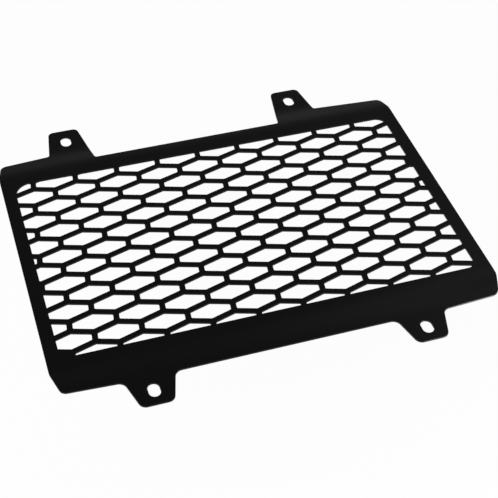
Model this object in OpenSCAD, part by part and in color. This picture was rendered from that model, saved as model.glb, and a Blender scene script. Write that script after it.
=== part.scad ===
// Motorcycle radiator guard: one flat sheet with a cut honeycomb, a plain border, a soft
// set-back along the top and bottom borders, and four slotted tabs.
// Millimetres. X runs across the guard, Y up the guard, Z out of its front face.
// Z = 0 is the back face of the four tabs, the plane that rests on the motorcycle.

/* [Sheet] */
// thickness of the sheet
sheet_t = 1.0; // [0.8:0.1:2.5]
// how far the tabs sit behind the mesh
set_back = 1.5; // [0.5:0.1:6]
// radius of the soft bends, on the inside
bend_r = 80; // [20:1:90]
// height above the middle where the top bend starts
top_bend_y = 81; // [74:0.5:86]
// height below the middle where the bottom bend starts
bottom_bend_y = 77; // [74:0.5:86]
// run of the sloping strip, bend line to bend line
slope_run = 14; // [8:0.5:18]

/* [Honeycomb] */
// half of the distance between neighbouring cells in a row
half_pitch = 12.712; // [9:0.002:18]
// distance from one row of cells to the next
row_step = 10.796; // [7:0.002:15]
// sideways lean of the cells from one row to the next
row_lean = 1.34; // [0:0.02:3]
// width of the thin bars
bar_w = 3.3; // [1.5:0.1:6]
// half length of the short upright bars, as a share of the row step
bar_share = 0.316; // [0.2:0.002:0.45]
// corner radius of the cells
cell_r = 0.6; // [0.2:0.1:2.5]
// sideways place of the middle cell
cell_x = -0.8; // [-12:0.1:12]
// upward place of the middle cell
cell_y = 3.56; // [-10:0.02:10]

/* [Body] */
// width of the body
body_w = 251.8; // [180:0.2:360]
// width of the opening that holds the honeycomb
open_w = 236.1; // [160:0.1:340]
// sideways place of the opening's middle
open_x = -0.2; // [-5:0.05:5]
// height of the opening above the middle
open_top_y = 70.55; // [50:0.05:110]
// drop of the opening's top edge from left to right, per millimetre
open_top_lean = 0.006; // [0:0.001:0.03]
// depth of the opening below the middle
open_bottom_y = 71.4; // [50:0.1:110]
// corner radius of the opening, top left corner
open_top_left_r = 10; // [2:0.5:20]
// corner radius of the opening, top right corner
open_top_right_r = 6.5; // [2:0.5:20]
// corner radius of the opening, bottom corners
open_bottom_r = 5; // [2:0.5:20]
// height of the body's top edge where it meets the tabs
top_edge_y = 93.0; // [85:0.1:105]
// fall of the top edge from the tabs to the corners, per millimetre
top_edge_fall = 0.0775; // [0:0.0005:0.2]
// drop of the body's top edges from left to right, per millimetre
top_lean = 0.0035; // [0:0.0005:0.02]
// height of the lowered top edge between the tabs
top_notch_y = 83.8; // [78:0.1:95]
// half width of the top edge, inside the tapered corners
top_half_w = 123; // [105:0.1:140]
// height where the sides start to taper in
top_taper_y = 79; // [60:0.1:86]
// corner radius of the body, top corners
body_top_r = 4.5; // [2:0.5:20]
// depth of the bottom edge below the middle, between the tabs
bottom_edge_y = 95.2; // [85:0.1:110]
// depth of the bottom edge at its two corners
bottom_corner_y = 93.4; // [80:0.1:110]
// half width of the bottom edge, inside the tapered corners
bottom_half_w = 121.7; // [105:0.1:140]
// sideways place of the bottom edge's middle
bottom_x = -0.4; // [-3:0.05:3]
// depth where the sides start to taper in
bottom_taper_y = 79.8; // [60:0.1:90]
// radius where the sides start to taper in
taper_r = 10; // [2:0.5:30]
// corner radius of the body, bottom left corner
body_bottom_left_r = 4; // [2:0.5:20]
// corner radius of the body, bottom right corner
body_bottom_right_r = 6.5; // [2:0.5:20]

/* [Tabs] */
// distance between the two top slots
top_slots_x = 146.7; // [100:0.1:220]
// sideways shift of the top pair of tabs
top_shift = -6.95; // [-30:0.05:30]
// height of the top slots
top_slots_y = 105; // [95:0.1:130]
// height of the top tabs' ends
top_tab_end = 116.1; // [105:0.1:140]
// half width of a top tab at its end, before its corners are rounded
top_tab_half = 8.95; // [6:0.05:15]
// narrowing of a top tab on each side, per millimetre
top_tab_flare = 0.163; // [0:0.001:0.5]
// distance between the two bottom slots
bottom_slots_x = 150.3; // [100:0.1:220]
// sideways shift of the bottom pair of tabs
bottom_shift = -1.6; // [-30:0.05:30]
// depth of the bottom slots
bottom_slots_y = 104.5; // [95:0.1:130]
// depth of the bottom tabs' ends
bottom_tab_end = 113.85; // [105:0.05:140]
// half width of a bottom tab at its end, before its corners are rounded
bottom_tab_half = 8.7; // [6:0.05:15]
// narrowing of a bottom tab on each side, per millimetre
bottom_tab_flare = 0.275; // [0:0.001:0.5]
// corner radius of the top tabs' ends
top_tab_r = 3.5; // [1:0.1:6]
// corner radius of the bottom tabs' ends
bottom_tab_r = 4.2; // [1:0.1:6]
// radius of the hollow where a top tab meets the body
top_root_r = 1.6; // [0.5:0.1:6]
// radius of the hollow where a bottom tab meets the body
bottom_root_r = 4.5; // [0.5:0.1:6]
// width of a slot
slot_w = 6.3; // [4:0.1:10]
// length of a slot from end to end
slot_l = 9.1; // [5:0.1:20]

/* [Hidden] */
half_w = body_w / 2;
// points on a rounded corner
cell_steps = 2;
body_steps = 8;
slope_a = atan2(set_back, slope_run);
// half width of a top tab where it meets the body's top edge
top_root_half = top_tab_half + top_tab_flare * (top_tab_end - top_edge_y);
// the origin is the middle of the overall height
middle_y = (top_tab_end - bottom_tab_end) / 2;
sheet_colour = [0.045, 0.045, 0.048];
// how far the section and the flat pattern run past each other's edges
spare = 5;
// the section ends past the longest tab
section_end = max(top_tab_end, bottom_tab_end) + spare;
slot_sides = 48;

function unit(v) = v / norm(v);

function half_angle(a, b, c) = acos(unit(a - b) * unit(c - b)) / 2;

function middle(a, b, c) = unit(unit(a - b) + unit(c - b));

// a corner moved inward by the same distance from both of its edges
function moved_in(a, b, c, d) = b + middle(a, b, c) * d / sin(half_angle(a, b, c));

// the points of a round of radius r at corner b, between its neighbours a and c
function round_at(a, b, c, r, n) =
    let (
        half = half_angle(a, b, c),
        centre = b + middle(a, b, c) * r / sin(half),
        from = b + unit(a - b) * r / tan(half) - centre,
        to = b + unit(c - b) * r / tan(half) - centre,
        start = atan2(from[1], from[0]),
        turn = (atan2(to[1], to[0]) - start + 540) % 360 - 180
    )
    [for (k = [0:n]) centre + r * [cos(start + turn * k / n), sin(start + turn * k / n)]];

function before(p, k) = p[(k + len(p) - 1) % len(p)];
function after(p, k) = p[(k + 1) % len(p)];

function shrunk(p, d) =
    [for (k = [0:len(p) - 1]) moved_in(before(p, k), p[k], after(p, k), d)];

// every corner rounded to its own radius
function rounded(p, r, n) =
    [for (k = [0:len(p) - 1]) each round_at(before(p, k), p[k], after(p, k), r[k], n)];

// a place in the leaning grid: i half pitches across, j rows down
function grid_at(i, j) = [i * half_pitch - j * row_lean, -j * row_step];

// the centre lines of the six bars round one cell
cell_lines = [
    grid_at(1, -bar_share), grid_at(0, bar_share - 1), grid_at(-1, -bar_share),
    grid_at(-1, bar_share), grid_at(0, 1 - bar_share), grid_at(1, bar_share)
];
cell_hole = rounded(shrunk(cell_lines, bar_w / 2), [for (k = [0:5]) cell_r], cell_steps);
cell_reach = half_pitch - bar_w / 2;
// least width of a cell that the opening's sides cut off
narrowest_cell = 1;

// the tab's four corners, from root to root, counter-clockwise when side is 1 (top)
function tab_points(x, side, root_a, root_b, end, half, flare) = [
    [x + side * (half + flare * (end - root_a)), side * root_a],
    [x + side * half, side * end],
    [x - side * half, side * end],
    [x - side * (half + flare * (end - root_b)), side * root_b]
];

top_tab_radii = [top_root_r, top_tab_r, top_tab_r, top_root_r];
bottom_tab_radii = [bottom_root_r, bottom_tab_r, bottom_tab_r, bottom_root_r];

// a height on an edge that drops a little from left to right
function leaning(y, x, lean) = y - lean * x;

top_right_x = top_shift + top_slots_x / 2;
top_left_x = top_shift - top_slots_x / 2;
top_right_tab = tab_points(top_right_x, 1, leaning(top_edge_y, top_right_x, top_lean),
    leaning(top_notch_y, top_right_x, top_lean), top_tab_end, top_tab_half, top_tab_flare);
top_left_tab = tab_points(top_left_x, 1, leaning(top_notch_y, top_left_x, top_lean),
    leaning(top_edge_y, top_left_x, top_lean), top_tab_end, top_tab_half, top_tab_flare);
bottom_left_tab = tab_points(bottom_shift - bottom_slots_x / 2, -1, bottom_edge_y,
    bottom_edge_y, bottom_tab_end, bottom_tab_half, bottom_tab_flare);
bottom_right_tab = tab_points(bottom_shift + bottom_slots_x / 2, -1, bottom_edge_y,
    bottom_edge_y, bottom_tab_end, bottom_tab_half, bottom_tab_flare);

// a top corner of the body; side is 1 on the right and -1 on the left
function top_corner(side) =
    let (
        x = side * top_half_w,
        away = top_half_w - side * top_shift - top_slots_x / 2 - top_root_half
    )
    [x, leaning(top_edge_y - top_edge_fall * away, x, top_lean)];

module outline() {
    polygon(rounded(
        concat(
            [[bottom_x - bottom_half_w, -bottom_corner_y]], bottom_left_tab, bottom_right_tab,
            [[bottom_x + bottom_half_w, -bottom_corner_y], [half_w, -bottom_taper_y],
                [half_w, top_taper_y], top_corner(1)],
            top_right_tab, top_left_tab,
            [top_corner(-1), [-half_w, top_taper_y], [-half_w, -bottom_taper_y]]
        ),
        concat(
            [body_bottom_left_r], bottom_tab_radii, bottom_tab_radii,
            [body_bottom_right_r, taper_r, taper_r, body_top_r],
            top_tab_radii, top_tab_radii,
            [body_top_r, taper_r, taper_r]
        ),
        body_steps
    ));
}

module opening() {
    left = open_x - open_w / 2;
    right = open_x + open_w / 2;
    polygon(rounded(
        [[left, -open_bottom_y], [right, -open_bottom_y],
            [right, leaning(open_top_y, right, open_top_lean)],
            [left, leaning(open_top_y, left, open_top_lean)]],
        [open_bottom_r, open_bottom_r, open_top_right_r, open_top_left_r],
        body_steps
    ));
}

// a cell is cut where enough of it lies in the opening; the slit in the bottom left corner
// is left solid
function is_cut(i, j) =
    let (at = grid_at(i, j) + [cell_x, cell_y])
    (i + j) % 2 == 0
    && abs(at[0] - open_x) - cell_reach < open_w / 2 - narrowest_cell
    && !(j == 7 && i < -7);

module cells() {
    intersection() {
        opening();
        union() {
            for (j = [-6:7], i = [-11:11])
                if (is_cut(i, j))
                    translate(grid_at(i, j) + [cell_x, cell_y])
                        polygon(cell_hole);
        }
    }
}

module slot(x, y) {
    straight = max(slot_l - slot_w, 0.1);
    translate([x, y]) {
        translate([0, straight / 2]) circle(d = slot_w, $fn = slot_sides);
        translate([0, -straight / 2]) circle(d = slot_w, $fn = slot_sides);
        square([slot_w, straight], center = true);
    }
}

module slots() {
    for (side = [-1, 1]) {
        slot(top_shift + side * top_slots_x / 2, top_slots_y);
        slot(bottom_shift + side * bottom_slots_x / 2, -bottom_slots_y);
    }
}

// the two arcs of one set-back, as points along the middle of the sheet: (distance from the
// bend line, height); radius mid_r, turning down and back by slope_a
mid_r = bend_r + sheet_t / 2;
arc_steps = 6;
function bend_down(y, z) =
    [for (k = [0:arc_steps])
        let (a = slope_a * k / arc_steps)
        [y - mid_r * tan(slope_a / 2) + mid_r * sin(a), z - mid_r * (1 - cos(a)), a]];
function bend_back(y, z) =
    [for (k = [arc_steps:-1:0])
        let (a = slope_a * k / arc_steps)
        [y + mid_r * tan(slope_a / 2) - mid_r * sin(a), z + mid_r * (1 - cos(a)), a]];

// the middle of the sheet from the centre of the guard to past the tabs' ends, one side
function half_path(bend_y) = concat(
    bend_down(bend_y, set_back + sheet_t / 2),
    bend_back(bend_y + slope_run, sheet_t / 2),
    [[section_end, sheet_t / 2, 0]]
);

function skin(path, side, flip) =
    [for (p = path) [flip * (p[0] + side * sin(p[2]) * sheet_t / 2),
        p[1] + side * cos(p[2]) * sheet_t / 2]];

function reversed(p) = [for (k = [len(p) - 1:-1:0]) p[k]];

// the section of the sheet, height against place up the guard
module section() {
    polygon(concat(
        reversed(skin(half_path(bottom_bend_y), 1, -1)),
        skin(half_path(top_bend_y), 1, 1),
        reversed(skin(half_path(top_bend_y), -1, 1)),
        skin(half_path(bottom_bend_y), -1, -1)
    ));
}

module guard_panel() {
    color(sheet_colour)
        translate([0, -middle_y, 0])
        intersection() {
            translate([0, 0, -spare])
                linear_extrude(height = set_back + sheet_t + 2 * spare)
                    difference() {
                        outline();
                        cells();
                        slots();
                    }
            rotate([90, 0, 90])
                translate([0, 0, -half_w - spare])
                    linear_extrude(height = body_w + 2 * spare)
                        section();
        }
}

guard_panel();
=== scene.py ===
"""Motorcycle radiator guard: looks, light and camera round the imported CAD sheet."""
import math

import bpy
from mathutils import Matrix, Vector

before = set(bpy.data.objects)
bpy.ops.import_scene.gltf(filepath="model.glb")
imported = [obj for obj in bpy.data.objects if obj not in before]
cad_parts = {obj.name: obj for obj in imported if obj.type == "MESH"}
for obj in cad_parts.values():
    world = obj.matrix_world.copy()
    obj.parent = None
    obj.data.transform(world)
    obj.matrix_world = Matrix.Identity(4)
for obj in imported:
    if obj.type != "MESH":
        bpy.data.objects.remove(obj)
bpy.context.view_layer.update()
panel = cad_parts["guard_panel"]
scene = bpy.context.scene

# Powder coat
COAT_COLOUR = (0.0024, 0.0024, 0.0025, 1.0)
COAT_SPECULAR = 0.20
COAT_ROUGHNESS = 0.28
GLOSSIER = 0.03          # the grain varies the roughness from this much below
DULLER = 0.05            # to this much above
GRAIN_SCALE = 2400.0     # fine orange peel, per metre
GRAIN_DETAIL = 3.0
GRAIN_CONTRAST = 0.6
BUMP_STRENGTH = 0.6
BUMP_HEIGHT = 0.00002    # metres


def new_material(name):
    mat = bpy.data.materials.new(name)
    mat.use_nodes = True
    return mat, mat.node_tree.nodes, mat.node_tree.links


def powder_coat():
    mat, nodes, links = new_material("coated_sheet")
    shader = nodes["Principled BSDF"]
    shader.inputs["Base Color"].default_value = COAT_COLOUR
    shader.inputs["Specular IOR Level"].default_value = COAT_SPECULAR
    place = nodes.new("ShaderNodeTexCoord")
    grain = nodes.new("ShaderNodeTexNoise")
    grain.inputs["Scale"].default_value = GRAIN_SCALE
    grain.inputs["Detail"].default_value = GRAIN_DETAIL
    grain.inputs["Roughness"].default_value = GRAIN_CONTRAST
    bump = nodes.new("ShaderNodeBump")
    bump.inputs["Strength"].default_value = BUMP_STRENGTH
    bump.inputs["Distance"].default_value = BUMP_HEIGHT
    spread = nodes.new("ShaderNodeMapRange")
    spread.inputs["To Min"].default_value = COAT_ROUGHNESS - GLOSSIER
    spread.inputs["To Max"].default_value = COAT_ROUGHNESS + DULLER
    links.new(place.outputs["Object"], grain.inputs["Vector"])
    links.new(grain.outputs["Fac"], bump.inputs["Height"])
    links.new(grain.outputs["Fac"], spread.inputs["Value"])
    links.new(spread.outputs["Result"], shader.inputs["Roughness"])
    links.new(bump.outputs["Normal"], shader.inputs["Normal"])
    return mat


panel.data.materials.clear()
panel.data.materials.append(powder_coat())

# Floor
FLOOR_SIZE = 12          # metres
FLOOR_DROP = 0.12        # the guard is shown clear of the floor, metres
FLOOR_COLOUR = (0.93, 0.93, 0.93, 1.0)
FLOOR_WHITE = 0.955      # share of plain white that the camera sees on the floor


def pale_floor():
    """White to the camera and to reflections, and still showing a faint shadow."""
    mat, nodes, links = new_material("pale_floor")
    shader = nodes["Principled BSDF"]
    shader.inputs["Base Color"].default_value = FLOOR_COLOUR
    shader.inputs["Roughness"].default_value = 1.0
    shader.inputs["Specular IOR Level"].default_value = 0.0
    path = nodes.new("ShaderNodeLightPath")
    seen = nodes.new("ShaderNodeMath")
    seen.operation = "MAXIMUM"
    share = nodes.new("ShaderNodeMath")
    share.operation = "MULTIPLY"
    share.inputs[1].default_value = FLOOR_WHITE
    glow = nodes.new("ShaderNodeEmission")
    glow.inputs["Strength"].default_value = 1.0
    mix = nodes.new("ShaderNodeMixShader")
    links.new(path.outputs["Is Camera Ray"], seen.inputs[0])
    links.new(path.outputs["Is Glossy Ray"], seen.inputs[1])
    links.new(seen.outputs["Value"], share.inputs[0])
    links.new(share.outputs["Value"], mix.inputs["Fac"])
    links.new(shader.outputs["BSDF"], mix.inputs[1])
    links.new(glow.outputs["Emission"], mix.inputs[2])
    links.new(mix.outputs["Shader"], nodes["Material Output"].inputs["Surface"])
    return mat


bpy.ops.mesh.primitive_plane_add(size=FLOOR_SIZE, location=(0, 0, -FLOOR_DROP))
floor = bpy.context.object
floor.name = "floor"
floor.data.materials.append(pale_floor())

# Light
MIDDLE = (0, 0, 0)
LOWER_RIGHT_EDGE = (0.1, -0.11, 0)
SOFTBOXES = (
    # name, place, aim, size in metres and watts
    ("back strip", (0.7, 2.1, 0.7), MIDDLE, (3.2, 0.6), 3.5),
    ("front", (0.7, -1.6, 0.5), MIDDLE, (1.4, 0.6), 6.0),
    ("right", (1.12, 1.22, 2.2), MIDDLE, (0.45, 1.4), 1.3),
    ("overhead", (-0.3, -0.2, 2.2), MIDDLE, (1.6, 1.6), 6.0),
    ("key", (-1.4, -1.5, 1.9), MIDDLE, (1.6, 1.6), 60.0),
    ("low right", (0.17, -0.2, -0.1), LOWER_RIGHT_EDGE, (0.10, 0.04), 0.12),
)
OUT_OF_SIGHT = ("low right",)
ROOM_LIGHT = 0.11        # strength of the even light on the guard
ROOM_SEEN = 1.0          # strength of the white that the camera sees past the floor
WHITE = (1.0, 1.0, 1.0, 1.0)


def softbox(name, place, target, size, watts):
    lamp_data = bpy.data.lights.new(name, "AREA")
    lamp_data.shape = "RECTANGLE"
    lamp_data.size, lamp_data.size_y = size
    lamp_data.energy = watts
    lamp = bpy.data.objects.new(name, lamp_data)
    scene.collection.objects.link(lamp)
    lamp.location = place
    aim = Vector(target) - Vector(place)
    lamp.rotation_euler = aim.to_track_quat("-Z", "Y").to_euler()
    if name in OUT_OF_SIGHT:
        lamp.visible_camera = False


def room():
    """An even, weak light from all round, which the camera sees as plain white."""
    world = bpy.data.worlds.new("studio")
    world.use_nodes = True
    nodes, links = world.node_tree.nodes, world.node_tree.links
    nodes.clear()
    path = nodes.new("ShaderNodeLightPath")
    mix = nodes.new("ShaderNodeMixShader")
    links.new(path.outputs["Is Camera Ray"], mix.inputs["Fac"])
    for slot, strength in ((1, ROOM_LIGHT), (2, ROOM_SEEN)):
        glow = nodes.new("ShaderNodeBackground")
        glow.inputs["Color"].default_value = WHITE
        glow.inputs["Strength"].default_value = strength
        links.new(glow.outputs["Background"], mix.inputs[slot])
    out = nodes.new("ShaderNodeOutputWorld")
    links.new(mix.outputs["Shader"], out.inputs["Surface"])
    return world


for box in SOFTBOXES:
    softbox(*box)
scene.world = room()
scene.view_settings.view_transform = "Standard"

# Camera, its place and aim worked out from the perspective of the honeycomb in the photograph
CAMERA_PLACE = (-0.15549, -0.49895, 0.48334)
CAMERA_TILT = 46.169
CAMERA_ROLL = -0.635
CAMERA_TURN = -17.440
CAMERA_LENS = 88.59
CAMERA_NEAR = 0.01
SENSOR_WIDTH = 36.0

camera_data = bpy.data.cameras.new("camera")
camera_data.lens = CAMERA_LENS
camera_data.sensor_width = SENSOR_WIDTH
camera_data.clip_start = CAMERA_NEAR
camera = bpy.data.objects.new("camera", camera_data)
scene.collection.objects.link(camera)
camera.location = CAMERA_PLACE
camera.rotation_euler = [math.radians(a) for a in (CAMERA_TILT, CAMERA_ROLL, CAMERA_TURN)]
scene.camera = camera
